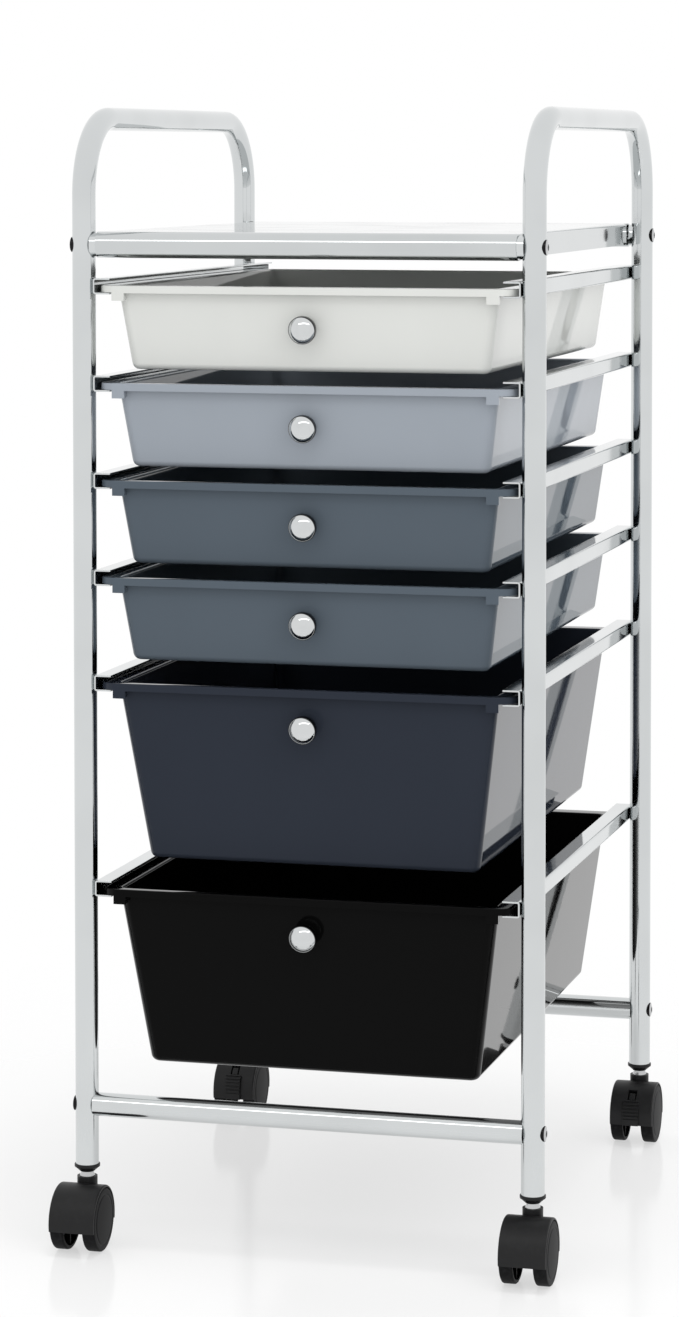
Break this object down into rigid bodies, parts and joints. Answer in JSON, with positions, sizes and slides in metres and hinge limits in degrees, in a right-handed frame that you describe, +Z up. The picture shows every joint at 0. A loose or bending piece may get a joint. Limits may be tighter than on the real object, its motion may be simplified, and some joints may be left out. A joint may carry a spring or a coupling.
{
  "type": "rolling drawer cart",
  "caption": "Rolling storage cart: arched chrome tube sides, a flat tray on top, drafted plastic drawers with round knobs on channel rails, and swivel casters with brakes at the rear.",
  "frame": {"origin": "on the floor, under the middle of the cart's box", "axes": "+Z up, the drawers open towards -Y, +X to the right of someone who faces the drawers"},
  "size_m": [0.348, 0.425, 0.783],
  "materials": {
    "chrome_tube": "bright chrome plate",
    "chrome_sheet": "bright chrome plate on sheet",
    "chrome_rail": "bright chrome plate",
    "screw_steel": "zinc plated",
    "stem_steel": "bright turned steel",
    "socket_plastic": "black, fine moulded grain",
    "caster_plastic": "black, half gloss",
    "wheel_plastic": "black nylon",
    "knob_silver": "satin silver",
    "ivory_plastic": "pale ivory, glossy",
    "light_grey_plastic": "light blue-grey, glossy",
    "slate_plastic": "slate blue-grey, glossy",
    "navy_plastic": "dark navy-grey, glossy",
    "black_plastic": "black, glossy"
  },
  "bodies": {
    "frame": {"left_side_tube": "chrome_tube", "right_side_tube": "chrome_tube", "tray_front_tube": "chrome_tube", "tray_rear_tube": "chrome_tube", "front_crossbar": "chrome_tube", "rear_crossbar": "chrome_tube", "top_tray": "chrome_sheet", "thread_inserts": "screw_steel", "frame_screws": "screw_steel", "stem_sockets": "socket_plastic", "caster_stems": "stem_steel", "left_rail_1": "chrome_rail", "right_rail_1": "chrome_rail", "left_rail_2": "chrome_rail", "right_rail_2": "chrome_rail", "left_rail_3": "chrome_rail", "right_rail_3": "chrome_rail", "left_rail_4": "chrome_rail", "right_rail_4": "chrome_rail", "left_rail_5": "chrome_rail", "right_rail_5": "chrome_rail", "left_rail_6": "chrome_rail", "right_rail_6": "chrome_rail"},
    "drawer_1": {"drawer_1": "ivory_plastic", "knob_1": "knob_silver", "knob_screw_1": "screw_steel"},
    "drawer_2": {"drawer_2": "light_grey_plastic", "knob_2": "knob_silver", "knob_screw_2": "screw_steel"},
    "drawer_3": {"drawer_3": "slate_plastic", "knob_3": "knob_silver", "knob_screw_3": "screw_steel"},
    "drawer_4": {"drawer_4": "slate_plastic", "knob_4": "knob_silver", "knob_screw_4": "screw_steel"},
    "drawer_5": {"drawer_5": "navy_plastic", "knob_5": "knob_silver", "knob_screw_5": "screw_steel"},
    "drawer_6": {"drawer_6": "black_plastic", "knob_6": "knob_silver", "knob_screw_6": "screw_steel"},
    "front_left_caster": {"front_left_hood": "caster_plastic", "front_left_axle": "stem_steel"},
    "front_left_outer_wheel": {"front_left_outer_wheel": "wheel_plastic"},
    "front_left_inner_wheel": {"front_left_inner_wheel": "wheel_plastic"},
    "front_right_caster": {"front_right_hood": "caster_plastic", "front_right_axle": "stem_steel"},
    "front_right_outer_wheel": {"front_right_outer_wheel": "wheel_plastic"},
    "front_right_inner_wheel": {"front_right_inner_wheel": "wheel_plastic"},
    "rear_left_caster": {"rear_left_hood": "caster_plastic", "rear_left_axle": "stem_steel"},
    "rear_left_outer_wheel": {"rear_left_outer_wheel": "wheel_plastic"},
    "rear_left_inner_wheel": {"rear_left_inner_wheel": "wheel_plastic"},
    "rear_left_brake": {"rear_left_brake": "caster_plastic"},
    "rear_right_caster": {"rear_right_hood": "caster_plastic", "rear_right_axle": "stem_steel"},
    "rear_right_outer_wheel": {"rear_right_outer_wheel": "wheel_plastic"},
    "rear_right_inner_wheel": {"rear_right_inner_wheel": "wheel_plastic"},
    "rear_right_brake": {"rear_right_brake": "caster_plastic"}
  },
  "joints": [
    {"name": "drawer_1_slide", "type": "slide", "parent": "frame", "child": "drawer_1", "axis": [0, -1, 0], "range_m": [0, 0.26]},
    {"name": "drawer_2_slide", "type": "slide", "parent": "frame", "child": "drawer_2", "axis": [0, -1, 0], "range_m": [0, 0.26]},
    {"name": "drawer_3_slide", "type": "slide", "parent": "frame", "child": "drawer_3", "axis": [0, -1, 0], "range_m": [0, 0.26]},
    {"name": "drawer_4_slide", "type": "slide", "parent": "frame", "child": "drawer_4", "axis": [0, -1, 0], "range_m": [0, 0.26]},
    {"name": "drawer_5_slide", "type": "slide", "parent": "frame", "child": "drawer_5", "axis": [0, -1, 0], "range_m": [0, 0.26]},
    {"name": "drawer_6_slide", "type": "slide", "parent": "frame", "child": "drawer_6", "axis": [0, -1, 0], "range_m": [0, 0.26]},
    {"name": "front_left_swivel", "type": "hinge", "parent": "frame", "child": "front_left_caster", "pos_m": [-0.157, -0.177, 0.0482], "axis": [0, 0, 1], "continuous": true},
    {"name": "front_left_outer_spin", "type": "hinge", "parent": "front_left_caster", "child": "front_left_outer_wheel", "pos_m": [-0.169, -0.189, 0.0215], "axis": [1, 0, 0], "continuous": true},
    {"name": "front_left_inner_spin", "type": "hinge", "parent": "front_left_caster", "child": "front_left_inner_wheel", "pos_m": [-0.145, -0.189, 0.0215], "axis": [1, 0, 0], "continuous": true},
    {"name": "front_right_swivel", "type": "hinge", "parent": "frame", "child": "front_right_caster", "pos_m": [0.157, -0.177, 0.0482], "axis": [0, 0, 1], "continuous": true},
    {"name": "front_right_outer_spin", "type": "hinge", "parent": "front_right_caster", "child": "front_right_outer_wheel", "pos_m": [0.169, -0.189, 0.0215], "axis": [1, 0, 0], "continuous": true},
    {"name": "front_right_inner_spin", "type": "hinge", "parent": "front_right_caster", "child": "front_right_inner_wheel", "pos_m": [0.145, -0.189, 0.0215], "axis": [1, 0, 0], "continuous": true},
    {"name": "rear_left_swivel", "type": "hinge", "parent": "frame", "child": "rear_left_caster", "pos_m": [-0.157, 0.201, 0.0482], "axis": [0, 0, 1], "continuous": true},
    {"name": "rear_left_outer_spin", "type": "hinge", "parent": "rear_left_caster", "child": "rear_left_outer_wheel", "pos_m": [-0.169, 0.189, 0.0215], "axis": [1, 0, 0], "continuous": true},
    {"name": "rear_left_inner_spin", "type": "hinge", "parent": "rear_left_caster", "child": "rear_left_inner_wheel", "pos_m": [-0.145, 0.189, 0.0215], "axis": [1, 0, 0], "continuous": true},
    {"name": "rear_left_brake_swing", "type": "hinge", "parent": "rear_left_caster", "child": "rear_left_brake", "pos_m": [-0.157, 0.17698, 0.03352], "axis": [-1, 0, 0], "range_deg": [0, 18]},
    {"name": "rear_right_swivel", "type": "hinge", "parent": "frame", "child": "rear_right_caster", "pos_m": [0.157, 0.201, 0.0482], "axis": [0, 0, 1], "continuous": true},
    {"name": "rear_right_outer_spin", "type": "hinge", "parent": "rear_right_caster", "child": "rear_right_outer_wheel", "pos_m": [0.169, 0.189, 0.0215], "axis": [1, 0, 0], "continuous": true},
    {"name": "rear_right_inner_spin", "type": "hinge", "parent": "rear_right_caster", "child": "rear_right_inner_wheel", "pos_m": [0.145, 0.189, 0.0215], "axis": [1, 0, 0], "continuous": true},
    {"name": "rear_right_brake_swing", "type": "hinge", "parent": "rear_right_caster", "child": "rear_right_brake", "pos_m": [0.157, 0.17698, 0.03352], "axis": [-1, 0, 0], "range_deg": [0, 18]}
  ]
}
